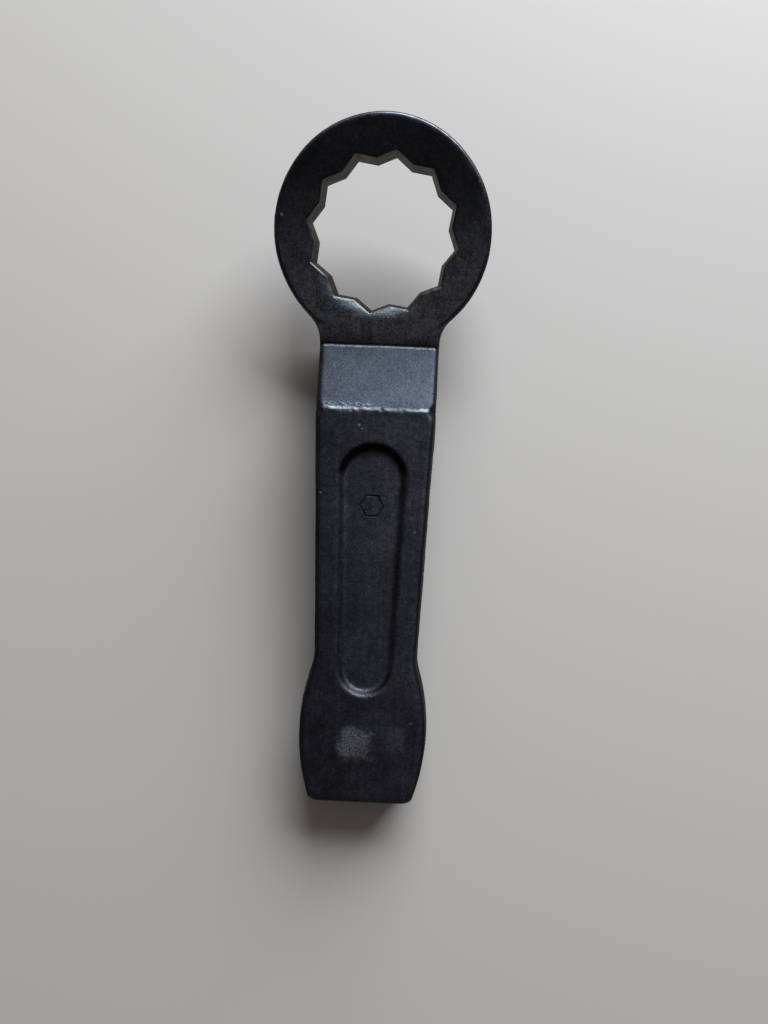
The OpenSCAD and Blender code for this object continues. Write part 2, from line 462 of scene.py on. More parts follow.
def bevel_ring(co):
    """Cuts the bevel round the ring's upper rim, fading out beside the neck."""
    x, y, z = ring_coordinates(co).T
    radius = np.hypot(x, y)
    turn = np.degrees(np.arctan2(np.abs(x), y))
    size = BEVEL * (1 - smoothstep(*BEVEL_ENDS, turn))
    slope = math.radians(BEVEL_SLOPE)
    depth = (radius - (RING_R - size)) * math.sin(slope) + (z - places.ring_half) * math.cos(slope)
    depth[(radius < RING_R * OUTER_SHARE) | (z < 0) | (size <= 0)] = 0
    out = np.stack((x / radius, y / radius, np.zeros(len(x))), axis=1) * math.sin(slope)
    out[:, 2] = math.cos(slope)
    axes = np.array([places.across, places.ring_out, places.ring_up])
    push_inside(co, depth, out @ axes)


def half_widths(x, along):
    """Half the shank's width beside each point, measured from the points themselves."""
    step = 1 * MM
    bins = np.clip((along / step).astype(int), 0, int((RIDGE_FROM_END + NECK_REACH) / step))
    widest = np.zeros(bins.max() + 1)
    np.maximum.at(widest, bins, np.abs(x))
    return np.interp(along / step, np.arange(len(widest)) + 0.5, widest)


def bevel_shank(co, side, size, reach):
    """Bevels the side edges of the shank's upper (1) or lower (-1) face."""
    x, along, height = shank_coordinates(co).T
    edge = half_widths(x, along) - SHANK_HALF * math.tan(DRAFT)
    if side > 0:
        at_ridge = smoothstep(RIDGE_FROM_END - RIDGE_BLEND, RIDGE_FROM_END, along)
        size = size + RIDGE_BEVEL * at_ridge
    depth = (np.abs(x) - edge + side * height - SHANK_HALF + size) / math.sqrt(2)
    depth[(along > reach) | (side * height < 0)] = 0
    out = np.stack((np.sign(x), np.zeros(len(x)), np.full(len(x), float(side))), axis=1)
    axes = np.array([places.across, -places.to_end, places.shank_up])
    push_inside(co, depth, out / math.sqrt(2) @ axes)


def parting_line(co):
    """Height of the trimmed flash that runs round the shank's sides at mid thickness."""
    x, along, height = shank_coordinates(co).T
    away = np.abs(height + FLASH_WANDER * np.sin(along / FLASH_WAVE))
    line = 1 - smoothstep(*FLASH_EDGE, away)
    on_side = (np.abs(x) > FLASH_ACROSS) & (along > FLASH_FROM_END) & (along < RIDGE_FROM_END)
    return FLASH_HEIGHT * line * on_side * (0.75 + 0.35 * bumps(co, 9 * MM, 2, 5.5))


def worn_drop(co):
    """How far wear has lowered the ring's upper face, most beside the neck."""
    x, y, z = ring_coordinates(co).T
    share = worn_turn(x, y) * (z > 0) * (1 + WORN_RAGGED * bumps(co, 7 * MM, 2, 8.2))
    inward = np.clip((WORN_R - np.hypot(x, y)) / WORN_W, 0, WORN_STEEP)
    return WORN_DEPTH * (1 - np.sqrt(1 - inward ** 2)) * share


def round_worn_rim(co):
    """Rounds the opening's upper edge where it is worn."""
    co -= worn_drop(co)[:, None] * np.array(places.ring_up)


def worn_turn(x, y):
    """1 on the side of the opening that is worn most, fading to WORN_LEAST round the ring."""
    angle = np.degrees(np.arctan2(x, -y))
    main = smoothstep(*WORN_LEFT, angle) * (1 - smoothstep(*WORN_RIGHT, angle))
    return np.maximum(main, WORN_LEAST)


def nicks(co):
    """Depth of small random dents over the whole skin."""
    rng = np.random.default_rng(SEED)
    depth = np.zeros(len(co))
    for _ in range(NICK_COUNT):
        centre = co[rng.integers(len(co))]
        radius = rng.uniform(*NICK_RADII)
        deep = rng.uniform(*NICK_DEPTHS)
        depth = np.maximum(depth, dent(co, centre, radius, deep))
    return depth


def dent(co, centre, radius, deep):
    """Depth of one round dent; its radius and depth are in millimetres."""
    away = np.linalg.norm(co - centre, axis=1) / (radius * MM)
    return deep * MM * (1 - smoothstep(0, 1, away))


def ridge_chips(co):
    """Depth of the chips along the ridge, most of them on its left half."""
    rng = np.random.default_rng(SEED + 1)
    depth = np.zeros(len(co))
    for _ in range(RIDGE_CHIP_COUNT):
        across = rng.triangular(*RIDGE_CHIP_ACROSS) * MM
        along = RIDGE_FROM_END + rng.uniform(*RIDGE_CHIP_PAST) * MM
        centre = places.shank_matrix(along, SHANK_HALF) @ Vector((across, 0, 0))
        radius = rng.uniform(*RIDGE_CHIP_RADII)
        deep = rng.uniform(*RIDGE_CHIP_DEPTHS)
        depth = np.maximum(depth, dent(co, np.array(centre), radius, deep))
    return depth


def twelve_points(grow):
    """The opening's outline: a point every 30 degrees, grown outwards by grow."""
    point_r = ACROSS_FLATS / 2 / math.cos(math.radians(30)) + grow
    root_r = ACROSS_FLATS / 2 / math.cos(math.radians(15)) + grow
    outline = []
    for i in range(24):
        angle = POINT_TURN + math.radians(15 * i)
        radius = point_r if i % 2 == 0 else root_r
        outline.append((radius * math.sin(angle), radius * math.cos(angle)))
    return outline


def cut(obj, tool):
    """Cuts the tool out of the object and deletes the tool."""
    boolean = obj.modifiers.new("cut", "BOOLEAN")
    boolean.operation = "DIFFERENCE"
    boolean.solver = "MANIFOLD"
    boolean.object = tool
    baked(obj)
    drop(tool)


def thin_out(obj):
    """Drops triangles where the skin is nearly flat."""
    thin = obj.modifiers.new("thin", "DECIMATE")
    thin.ratio = KEPT_SHARE
    baked(obj)


def stepped(outline, steps):
    """The outline with each of its sides in equal steps."""
    points = []
    for (x, y), (next_x, next_y) in zip(outline, outline[1:] + outline[:1]):
        for i in range(steps):
            t = i / steps
            points.append((x + (next_x - x) * t, y + (next_y - y) * t))
    return points


def opening_cutter():
    """The 12-point hole with a chamfer at each face, the upper one along the worn edge."""
    half, past = places.ring_half, 2 * MM
    hole = stepped(twelve_points(0), SIDE_STEPS)
    below = stepped(twelve_points(LEAD_IN + past), SIDE_STEPS)
    above = stepped(twelve_points(LIP + past), SIDE_STEPS)
    matrix = places.ring_matrix()
    worn = worn_drop(np.array([matrix @ Vector(point) for point in level(hole, half)]))
    lip = [(x, y, half - LIP - lower) for (x, y), lower in zip(hole, worn)]
    top = [(x, y, half + past - lower) for (x, y), lower in zip(above, worn)]
    levels = [level(below, -half - past), level(hole, -half + LEAD_IN), lip, top]
    return prism("opening", levels, matrix)


def mark_cutter():
    """A hexagonal groove with sloping sides, standing in the recess's floor."""
    floor = SHANK_HALF - POCKET_DEPTH
    middle = (MARK_SIZE - MARK_LINE) / 2
    low, high = floor - MARK_DEPTH, floor + 1 * MM
    spread = (MARK_LINE - MARK_FLAT) / 2 * (high - low) / MARK_DEPTH
    bm = bmesh.new()
    loops = []
    for flat, z in ((middle + MARK_FLAT / 2, low), (middle + MARK_FLAT / 2 + spread, high),
                    (middle - MARK_FLAT / 2 - spread, high), (middle - MARK_FLAT / 2, low)):
        corners = circle(flat / math.cos(math.radians(30)), 6)
        loops.append([bm.verts.new((x, y, z)) for x, y in corners])
    for first, second in zip(loops, loops[1:] + loops[:1]):
        for i in range(6):
            k = (i + 1) % 6
            bm.faces.new((first[i], first[k], second[k], second[i]))
    bm.transform(places.shank_matrix(MARK_FROM_END, 0))
    bmesh.ops.recalc_face_normals(bm, faces=bm.faces)
    mesh = bpy.data.meshes.new("mark")
    bm.to_mesh(mesh)
    bm.free()
    return add_object("mark", mesh)


def edge_wear(mesh, near, co):
    """How far each point stands out of its surroundings, 0 to 1, along ridges and rims."""
    normal = normals_of(mesh)
    wide = co.copy()
    for _ in range(WEAR_PASSES):
        wide = near.mean(wide)
    out = ((co - wide) * normal).sum(axis=1)
    out = near.mean(near.mean(out))
    return smoothstep(*WEAR_HEIGHTS, out)


def sides(mesh):
    """1 on the outer sides of the spanner and 0 on its upper and lower faces."""
    co, normal = points_of(mesh), normals_of(mesh)
    x, along, _ = shank_coordinates(co).T
    on_ring = ring_coordinates(co)[:, 1] > FOOT_OUT
    ring_side = 1 - smoothstep(*RING_SIDE, np.abs(normal @ np.array(places.ring_up)))
    shank_side = smoothstep(*SHANK_SIDE, np.abs(normal[:, 0]))
    end_side = smoothstep(*END_SIDE, normal @ np.array(places.to_end))
    in_pocket = (np.abs(x) < POCKET_REACH) & (along > POCKET_FROM_END)
    return np.where(on_ring, ring_side, np.maximum(shank_side, end_side) * ~in_pocket)


def carry_over(source_co, values, mesh):
    """Gives each point of the mesh the values of the nearest source point."""
    tree = KDTree(len(source_co))
    for i, p in enumerate(source_co):
        tree.insert(p, i)
    tree.balance()
    nearest = np.array([tree.find(v.co)[1] for v in mesh.vertices])
    for name, value in values.items():
        attribute = mesh.attributes.new(name, "FLOAT", "POINT")
        attribute.data.foreach_set("value", value[nearest].astype(np.float32))


def bare_walls(mesh):
    """Puts the second material on the opening's walls and the third on its upper chamfer."""
    count = len(mesh.polygons)
    centre = np.empty(count * 3, np.float32)
    normal = np.empty(count * 3, np.float32)
    mesh.polygons.foreach_get("center", centre)
    mesh.polygons.foreach_get("normal", normal)
    ring = ring_coordinates(centre.reshape(-1, 3).astype(float))
    facing_up = normal.reshape(-1, 3) @ np.array(places.ring_up)
    inside = np.hypot(ring[:, 0], ring[:, 1]) < OPENING_REACH
    wall = inside & (np.abs(facing_up) < WALL_FACING)
    lip = wall & (facing_up > LIP_FACING)
    mesh.polygons.foreach_set("material_index", wall.astype(np.int32) + lip.astype(np.int32))


def spanner():
    """The whole spanner in one piece, which stands for the CAD solid."""
    obj = closed_blank()
    near = forge(obj)
    source_co = points_of(obj.data)
    wear = edge_wear(obj.data, near, source_co)
    side = sides(obj.data)
    thin_out(obj)
    cut(obj, opening_cutter())
    cut(obj, mark_cutter())
    mesh = obj.data
    mesh.materials.clear()
    mesh.materials.append(black_forged_steel())
    mesh.materials.append(broached_steel())
    mesh.materials.append(rubbed_steel())
    bare_walls(mesh)
    carry_over(source_co, {"wear": wear, "side": side}, mesh)
    mesh.polygons.foreach_set("use_smooth", np.ones(len(mesh.polygons), bool))
    mesh.set_sharp_from_angle(angle=SHARP_ANGLE)
    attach(obj, "root")
    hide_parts("spanner_body")
    return obj


# ---------------------------------------------------------------- materials

class Nodes:
    """Short forms for building a material's node tree."""

    def __init__(self, name):
        self.material = bpy.data.materials.new(name)
        self.material.use_nodes = True
        self.tree = self.material.node_tree
        self.shader = self.tree.nodes["Principled BSDF"]

    def add(self, kind, **settings):
        """A new node with the given settings."""
        node = self.tree.nodes.new(kind)
        for key, value in settings.items():
            setattr(node, key, value)
        return node

    def link(self, value, socket):
        """Connects a socket's value, or sets a number or colour."""
        if isinstance(value, (int, float, tuple)):
            socket.default_value = value
        else:
            self.tree.links.new(value, socket)

    def point(self):
        """The shaded point, in metres."""
        return self.add("ShaderNodeTexCoord").outputs["Object"]

    def attribute(self, name):
        """A value that the mesh carries at each point."""
        return self.add("ShaderNodeAttribute", attribute_name=name).outputs["Fac"]

    def noise(self, vector, size, detail=2.0, roughness=0.5):
        """Noise from 0 to 1 with features about size metres across."""
        node = self.add("ShaderNodeTexNoise")
        self.link(vector, node.inputs["Vector"])
        node.inputs["Scale"].default_value = 1 / size
        node.inputs["Detail"].default_value = detail
        node.inputs["Roughness"].default_value = roughness
        return node.outputs["Fac"]

    def cells(self, vector, size):
        """Distance from the middle of random cells about size metres across."""
        node = self.add("ShaderNodeTexVoronoi")
        self.link(vector, node.inputs["Vector"])
        node.inputs["Scale"].default_value = 1 / size
        return node.outputs["Distance"]

    def math(self, operation, a, b=0.0):
        """The result of one operation on two values."""
        node = self.add("ShaderNodeMath", operation=operation)
        self.link(a, node.inputs[0])
        self.link(b, node.inputs[1])
        return node.outputs[0]

    def span(self, value, low, high, to_low=0.0, to_high=1.0):
        """value from low..high brought to to_low..to_high, and held inside it."""
        node = self.add("ShaderNodeMapRange", interpolation_type="SMOOTHSTEP")
        for name, v in (("Value", value), ("From Min", low), ("From Max", high),
                        ("To Min", to_low), ("To Max", to_high)):
            self.link(v, node.inputs[name])
        return node.outputs["Result"]

    def mix(self, share, a, b):
        """Colour a where share is 0 and colour b where it is 1."""
        node = self.add("ShaderNodeMix", data_type="RGBA")
        self.link(share, node.inputs["Factor"])
        sockets = [s for s in node.inputs if s.type == "RGBA"]
        self.link(a, sockets[0])
        self.link(b, sockets[1])
        return next(s for s in node.outputs if s.type == "RGBA")

    def bump(self, height, distance, strength):
        """The normal of a surface raised by height, 0 to 1, times the distance."""
        node = self.add("ShaderNodeBump")
        self.link(height, node.inputs["Height"])
        node.inputs["Distance"].default_value = distance
        node.inputs["Strength"].default_value = strength
        return node.outputs["Normal"]

    def times(self, *factors):
        """The product of several values."""
        total = factors[0]
        for factor in factors[1:]:
            total = self.math("MULTIPLY", total, factor)
        return total

    def hypot(self, a, b):
        """The length of a line that runs a one way and b the other."""
        squares = self.math("ADD", self.math("MULTIPLY", a, a), self.math("MULTIPLY", b, b))
        return self.math("SQRT", squares)

    def off(self, value, place):
        """Distance of a value from a place, either way."""
        return self.math("ABSOLUTE", self.math("SUBTRACT", value, place))

    def along(self, point, origin, axis):
        """How far a point lies from the origin along an axis."""
        dot = self.add("ShaderNodeVectorMath", operation="DOT_PRODUCT")
        self.link(point, dot.inputs[0])
        dot.inputs[1].default_value = axis
        return self.math("SUBTRACT", dot.outputs["Value"], origin.dot(axis))

    def stretched(self, x, y, z, by):
        """A place to sample noise at, with features drawn out along y."""
        node = self.add("ShaderNodeCombineXYZ")
        self.link(x, node.inputs["X"])
        self.link(self.math("MULTIPLY", y, 1 / by), node.inputs["Y"])
        self.link(z, node.inputs["Z"])
        return node.outputs["Vector"]

    def metal(self, colour, roughness, tint, normal):
        """Finishes the shader as bare metal, and gives the material."""
        self.link(colour, self.shader.inputs["Base Color"])
        self.shader.inputs["Metallic"].default_value = 1.0
        self.link(roughness, self.shader.inputs["Roughness"])
        self.shader.inputs["Specular Tint"].default_value = tint
        self.link(normal, self.shader.inputs["Normal"])
        return self.material


class Skin(Nodes):
    """A material of the spanner, with the shaded point's ring and shank coordinates.

    x is across; out, up, radius and turn belong to the ring, length and height to the shank.
    on_ring, on_slope and on_handle are 1 on that stretch of the spanner and 0 off it.
    """

    def __init__(self, name):
        super().__init__(name)
        self.p = self.point()
        self.x = self.along(self.p, places.ring_mid, places.across)
        self.out = self.along(self.p, places.ring_mid, places.ring_out)
        self.up = self.along(self.p, places.ring_mid, places.ring_up)
        self.length = self.along(self.p, places.end, -places.to_end)
        self.height = self.along(self.p, places.end, places.shank_up)
        self.radius = self.hypot(self.x, self.out)
        self.turn = self.math("ARCTAN2", self.x, self.out)
        self.on_ring = self.span(self.out, FOOT_OUT, FOOT_OUT + 1 * MM)
        self.on_handle = self.span(self.length, RIDGE_FROM_END - 1 * MM, RIDGE_FROM_END - 5 * MM)
        off_ring = self.span(self.out, FOOT_OUT, FOOT_OUT - 1 * MM)
        self.on_slope = self.times(off_ring, self.math("SUBTRACT", 1.0, self.on_handle))
        self.mottle = self.noise(self.p, 2.6 * MM, 5, 0.6)
        self.grain = self.noise(self.p, 0.8 * MM, 4, 0.62)


def scale_tone(n):
    """How light the black scale is, about 1: by place, with clouds, mottling, grain, streaks, and
    with painted light and shade on the ring's face and sides.
    """
    depth = n.span(n.on_slope, 0, 1, 0.16, 0.07)
    clouds = n.span(n.noise(n.p, 15 * MM, 2), 0.32, 0.68, -1, 1)
    clouds = n.math("ADD", n.times(clouds, depth), 1.0)
    mottle = n.span(n.mottle, 0.28, 0.72, 0.86, 1.14)
    grain = n.span(n.grain, 0.3, 0.7, 0.6, 1.4)
    beside_neck = n.times(n.on_ring, n.span(n.out, 10 * MM, -40 * MM, 0.25, 1))
    grit = n.times(n.span(n.noise(n.p, 1.2 * MM, 5, 0.75), 0.36, 0.66, 0.6, 1.5),
                   n.span(n.noise(n.p, 6 * MM, 4, 0.7), 0.34, 0.66, 0.72, 1.28))
    grit = n.math("ADD", n.times(beside_neck, n.math("SUBTRACT", grit, 1.0)), 1.0)
    long = n.stretched(n.x, n.length, n.height, 14)
    streaks = n.span(n.noise(long, 1.6 * MM, 3), 0.3, 0.7, 0.86, 1.14)
    side = n.attribute("side")
    # place carries painted light and shade as well as tone
    place = n.math("ADD", n.times(place_tone_and_light(n), n.math("SUBTRACT", 1.0, side)),
                   n.times(painted_side_light(n), side))
    return n.times(clouds, mottle, grain, grit, streaks, place)


def place_tone_and_light(n):
    """Tone that changes from place to place. The ring's face is lighter beside the neck and dark at
    the far side: partly scale rubbed thin, partly a painted reflection beside the neck and painted
    shade at the far side.
    """
    # Painted light and shade on the ring's face: lighter towards the neck, darker at the far side
    ring = n.span(n.out, 38 * MM, -46 * MM, 0.48, 3.3)
    slope = n.span(n.out, FOOT_OUT, FOOT_OUT - 1.5 * MM, 1, 0.235)
    in_pocket = n.times(n.span(n.math("ABSOLUTE", n.x), POCKET_R + 1 * MM, POCKET_R - 2 * MM),
                        n.span(n.length, 54 * MM, 62 * MM), n.span(n.length, 184 * MM, 176 * MM))
    handle = n.times(n.span(n.length, 20 * MM, 90 * MM, 1.25, 1.35),
                     n.span(n.length, 150 * MM, 190 * MM, 1, 0.8),
                     n.span(n.x, -24 * MM, 22 * MM, 0.82, 1.18),
                     n.span(in_pocket, 0, 1, 1, 1.2))
    off_handle = n.math("SUBTRACT", 1.0, n.on_handle)
    return n.math("ADD", n.times(ring, slope, off_handle), n.times(handle, n.on_handle))


def painted_side_light(n):
    """Painted light and shade on the outer sides, standing in for reflections: light on the ring's
    left, dark on its right and by the neck.
    """
    # Painted reflections: the ring's left side lighter, its right side darker
    wavy = n.math("ADD", n.turn, n.span(n.noise(n.p, 20 * MM, 2), 0.3, 0.7, -0.4, 0.4))
    ring = n.span(wavy, math.radians(-50), math.radians(25), 1.5, 0.45)
    near_neck = n.span(n.out, FOOT_OUT + 42 * MM, FOOT_OUT + 10 * MM, 1.5, 0.42)
    neck = n.span(n.length, RIDGE_FROM_END - 1 * MM, RIDGE_FROM_END + 5 * MM, 1, 1.6)
    return n.math("MINIMUM", ring, n.times(near_neck, neck))


def foot_rust_shade_and_highlight(n, colour):
    """Painted shade in the crease at the neck's foot, a painted highlight on the lip beside it, and
    rust above it.
    """
    out = n.math("SUBTRACT", n.out, FOOT_OUT)
    up = n.math("SUBTRACT", n.up, places.ring_half)
    away = n.hypot(out, up)
    stain = n.times(n.span(away, 8 * MM, 1 * MM), n.span(out, -0.6 * MM, 0.4 * MM))
    colour = n.mix(n.times(stain, n.span(n.mottle, 0.3, 0.6, 0.3, 0.75)), colour, RUST)
    # Painted shade darkens the crease where the neck meets the ring's upper face
    crease = n.times(n.span(away, 1.5 * MM, 0.5 * MM), n.span(up, 0.9 * MM, 0.3 * MM))
    colour = n.mix(n.math("MULTIPLY", crease, 0.9), colour, CREASE_SHADE)
    # A broken light line on the lip beside the crease: a painted highlight in the worn steel's
    # colour
    broken = n.times(n.span(n.noise(n.p, 2.2 * MM, 3, 0.6), 0.42, 0.58),
                     n.span(n.off(n.x, 6 * MM), 7 * MM, 16 * MM, 0.3, 1))
    lip = n.times(n.span(n.off(away, 1.5 * MM), 0.8 * MM, 0.2 * MM), broken,
                  n.span(up, 0.5 * MM, 0.9 * MM))
    return n.mix(n.math("MULTIPLY", lip, 0.42), colour, WORN_STEEL)


def ridge_marks(n, colour):
    """Bare steel along the ridge, broken and scalloped, most of it left of the middle."""
    away = n.hypot(n.math("SUBTRACT", n.length, RIDGE_FROM_END + 0.9 * MM),
                   n.math("SUBTRACT", n.height, SHANK_HALF - 0.3 * MM))
    ragged = n.math("ADD", away, n.math("MULTIPLY", n.noise(n.p, 1.6 * MM, 3, 0.6), 2.4 * MM))
    left = n.times(n.span(n.x, 3 * MM, -6 * MM), n.span(n.x, -30 * MM, -28 * MM))
    right_end = n.times(n.span(n.x, 19 * MM, 25 * MM), n.span(n.x, 30 * MM, 28 * MM))
    share = n.math("ADD", n.times(n.math("MAXIMUM", left, right_end), 0.5), 0.3)
    line = n.times(n.span(ragged, 2.5 * MM, 1.6 * MM), share)
    past = n.math("SUBTRACT", n.length, RIDGE_FROM_END)
    wander = n.noise(n.stretched(n.length, n.x, n.height, 1.5), 2.8 * MM, 2, 0.5)
    scallops = n.times(n.span(n.off(wander, 0.5), 0.05, 0.015), left,
                       n.span(past, 0.2 * MM, 0.8 * MM), n.span(past, 5 * MM, 2.5 * MM), 0.6)
    return n.mix(n.math("MAXIMUM", line, scallops), colour, RIDGE_STEEL)


def rim_shade_wear_and_highlight(n, colour):
    """Painted shade on the far side of the ring's upper bevel, a thin line inside it that is partly
    wear and partly painted highlight, and a line of painted shade beside the neck.
    """
    far_side = n.times(n.span(n.turn, math.radians(-90), math.radians(-60)),
                       n.span(n.turn, math.radians(75), math.radians(42)))
    bevel = n.times(n.span(n.radius, RING_R - BEVEL + 0.4 * MM, RING_R - BEVEL + 0.8 * MM),
                    n.span(n.up, 4 * MM, 8 * MM), n.span(n.out, 0 * MM, 10 * MM))
    # Painted shade on the bevel at the far side
    colour = n.mix(n.times(bevel, 0.4), colour, BEVEL_SHADE)
    line = n.span(n.off(n.radius, RING_R - BEVEL + 0.1 * MM), 0.6 * MM, 0.15 * MM)
    side = n.times(n.span(n.turn, math.radians(-35), math.radians(15), 0.6, 1), far_side)
    broken = n.span(n.noise(n.p, 4 * MM, 4, 0.7), 0.38, 0.6, 0.3, 0.95)
    top = n.span(n.up, places.ring_half - 1 * MM, places.ring_half - 0.5 * MM)
    # A thin line inside the bevel, partly wear and partly a painted highlight, strongest on the
    # right of the far side
    colour = n.mix(n.times(line, side, broken, top), colour, RIM_WEAR_AND_HIGHLIGHT)
    near_neck = n.span(n.math("ABSOLUTE", n.turn), math.radians(85), math.radians(105))
    groove = n.span(n.off(n.radius, RING_R - BEVEL - 0.6 * MM), 1.3 * MM, 0.4 * MM)
    web = n.span(n.out, FOOT_OUT + 6 * MM, FOOT_OUT + 16 * MM)
    # A dark line of painted shade beside the neck
    return n.mix(n.times(groove, near_neck, web, top, 0.75), colour, NECK_LINE_SHADE)


def rubbed_and_sheen_share(n):
    """Where the scale is rubbed thin round the opening's upper edge beside the neck, 0 to 1; its
    light bluish colour there is also a painted highlight.
    """
    near_neck = n.math("ARCTAN2", n.x, n.math("MULTIPLY", n.out, -1.0))
    sector = n.times(n.span(near_neck, math.radians(-52), math.radians(-34)),
                     n.span(near_neck, math.radians(30), math.radians(12)))
    grit = n.math("MULTIPLY", n.noise(n.p, 1.1 * MM, 5, 0.75), 10 * MM)
    edge = n.span(n.math("ADD", n.radius, grit), 49.5 * MM, 43 * MM)
    top = n.span(n.up, places.ring_half - 4 * MM, places.ring_half - 3 * MM)
    return n.times(sector, edge, top)


def pocket_painted_shade(n, colour):
    """Painted shade: a dark line along the middle of the recess's wall at its end-face side,
    between the wall's two bright arcs, and a dark band under its rim by the neck.
    """
    reach = n.math("SUBTRACT", POCKET_MIDDLE, n.length)
    radius = n.hypot(n.x, reach)
    here = n.times(n.span(reach, 0.5 * MM, 3 * MM), n.span(n.height, 0, 2 * MM))
    seam_shade = n.span(n.off(radius, POCKET_R - 1.9 * MM), 1.1 * MM, 0.3 * MM)
    # Painted shade along the middle of the wall
    colour = n.mix(n.times(seam_shade, here, 0.7), colour, POCKET_SEAM_SHADE)
    ahead = n.math("SUBTRACT", n.length, NECK_POCKET_MIDDLE)
    wall = n.span(n.off(n.hypot(n.x, ahead), NECK_POCKET_R - 1.7 * MM), 2.6 * MM, 1.2 * MM)
    here = n.times(n.span(ahead, 0, 5 * MM), n.span(n.height, 0, 2 * MM))
    # Painted shade under the rim by the neck, where the wall is in shade
    return n.mix(n.times(wall, here, 0.75), colour, POCKET_SHADE)


def patch_share(n, across, from_end, half_w, half_l):
    """A ragged patch on the block's upper face, 0 to 1; its sizes are in millimetres."""
    a = n.math("MULTIPLY", n.off(n.x, across * MM), 1 / (half_w * MM))
    b = n.math("MULTIPLY", n.off(n.length, from_end * MM), 1 / (half_l * MM))
    powers = [n.math("POWER", value, PATCH_SQUARENESS) for value in (a, b)]
    away = n.math("POWER", n.math("ADD", *powers), 1 / PATCH_SQUARENESS)
    ragged = n.math("ADD", away, n.span(n.noise(n.p, 5 * MM, 4, 0.65), 0.2, 0.8, -0.3, 0.3))
    top = n.span(n.height, SHANK_HALF - 2 * MM, SHANK_HALF - 1 * MM)
    return n.times(n.span(ragged, 1.2, 0.7), top)


def struck_marks(n):
    """How strongly each point shows the places where a hammer has struck, 0 to about 1."""
    fade = n.span(n.math("SUBTRACT", n.length, n.x), 22 * MM, 36 * MM, 0.55, 1.05)
    main = patch_share(n, across=-3.4, from_end=30.5, half_w=8.8, half_l=8.6)
    main = n.times(main, fade)
    faint = patch_share(n, across=17, from_end=34, half_w=5, half_l=7)
    faint = n.math("MULTIPLY", faint, 0.3)
    return n.math("MAXIMUM", main, faint)


def chips(n, colour):
    """A few light chips through the scale, where knocks have left them."""
    ring = places.ring_matrix()
    spots = []
    for across, out, size in RING_CHIPS:
        spots.append((ring @ Vector((across * MM, out * MM, places.ring_half)), size))
    for across, from_ridge, size in SHANK_CHIPS:
        matrix = places.shank_matrix(RIDGE_FROM_END - from_ridge * MM, SHANK_HALF)
        spots.append((matrix @ Vector((across * MM, 0, 0)), size))
    total = 0.0
    for place, size in spots:
        away = n.add("ShaderNodeVectorMath", operation="DISTANCE")
        n.link(n.p, away.inputs[0])
        away.inputs[1].default_value = place
        spot = n.span(away.outputs["Value"], size * 1.6 * MM, size * 0.3 * MM)
        total = n.math("ADD", spot, total)
    ragged = n.math("MULTIPLY", n.noise(n.p, 0.9 * MM, 3, 0.6), 1.4)
    bright = n.span(n.math("ADD", total, ragged), 1.35, 1.6)
    return n.mix(n.math("MULTIPLY", bright, 0.8), colour, CHIP)


def specks(n, colour):
    """The colour with scattered light specks and dark pits, and the pits' share."""
    light = n.times(n.span(n.cells(n.p, 5.5 * MM), 0.075, 0.045),
                    n.span(n.noise(n.p, 14 * MM, 2), 0.52, 0.62, 0, 0.6))
    colour = n.mix(light, colour, SPECK)
    dark = n.times(n.span(n.cells(n.p, 3.1 * MM), 0.16, 0.08), n.span(n.mottle, 0.5, 0.62, 0, 0.75))
    return n.mix(dark, colour, PIT), dark


def scale_colour(n):
    """The black scale's colour: cool or warm, lighter where its tone is."""
    tone = n.math("MULTIPLY", scale_tone(n), 0.2)
    warm = n.span(n.noise(n.p, 7 * MM, 4, 0.65), 0.38, 0.62)
    light = n.mix(warm, COOL_SCALE, WARM_SCALE)
    light = n.mix(n.on_slope, light, SLOPE_SCALE)
    light = n.mix(n.on_handle, light, HANDLE_SCALE)
    return n.mix(tone, DARK_SCALE, light)


def black_forged_steel():
    """Black scale on forged steel, worn to grey on its ridge, its rims and its struck patch."""
    n = Skin("black_forged_steel")
    colour = foot_rust_shade_and_highlight(n, scale_colour(n))
    colour, pits = specks(n, colour)

    struck = struck_marks(n)
    fleck = n.span(n.noise(n.p, 0.75 * MM, 4, 0.7), 0.42, 0.60, 0.12, 1.0)
    colour = n.mix(n.times(struck, fleck, 0.85), colour, STRUCK_STEEL)

    worn = n.math("ADD", n.attribute("wear"), n.math("MULTIPLY", n.grain, 0.7))
    colour = n.mix(n.math("MULTIPLY", n.span(worn, 0.8, 1.3), 0.6), colour, WORN_STEEL)
    colour = ridge_marks(n, colour)
    colour = rim_shade_wear_and_highlight(n, colour)
    # Rubbed scale: its roughness and bump are real, and its light bluish colour is partly a painted
    # highlight
    rubbed = rubbed_and_sheen_share(n)
    spots = n.span(n.noise(n.p, 1.0 * MM, 5, 0.75), 0.36, 0.58, 0.3, 1)
    colour = n.mix(n.times(rubbed, spots), colour, RUBBED_SCALE_AND_SHEEN)
    colour = pocket_painted_shade(n, colour)
    colour = chips(n, colour)

    rough = n.math("ADD", n.span(n.mottle, 0.2, 0.8, 0.44, 0.54),
                   n.math("MULTIPLY", n.math("MAXIMUM", struck, rubbed), 0.1))
    height = n.math("ADD", n.math("MULTIPLY", n.mottle, 0.8), n.math("MULTIPLY", n.grain, 0.6))
    height = n.times(height, n.span(rubbed, 0, 1, 1, 2.2))
    height = n.math("SUBTRACT", height, n.math("MULTIPLY", n.times(struck, fleck), 0.5))
    height = n.math("SUBTRACT", height, n.math("MULTIPLY", pits, 0.8))
    return n.metal(colour, rough, SCALE_TINT, n.bump(height, 0.14 * MM, 0.9))


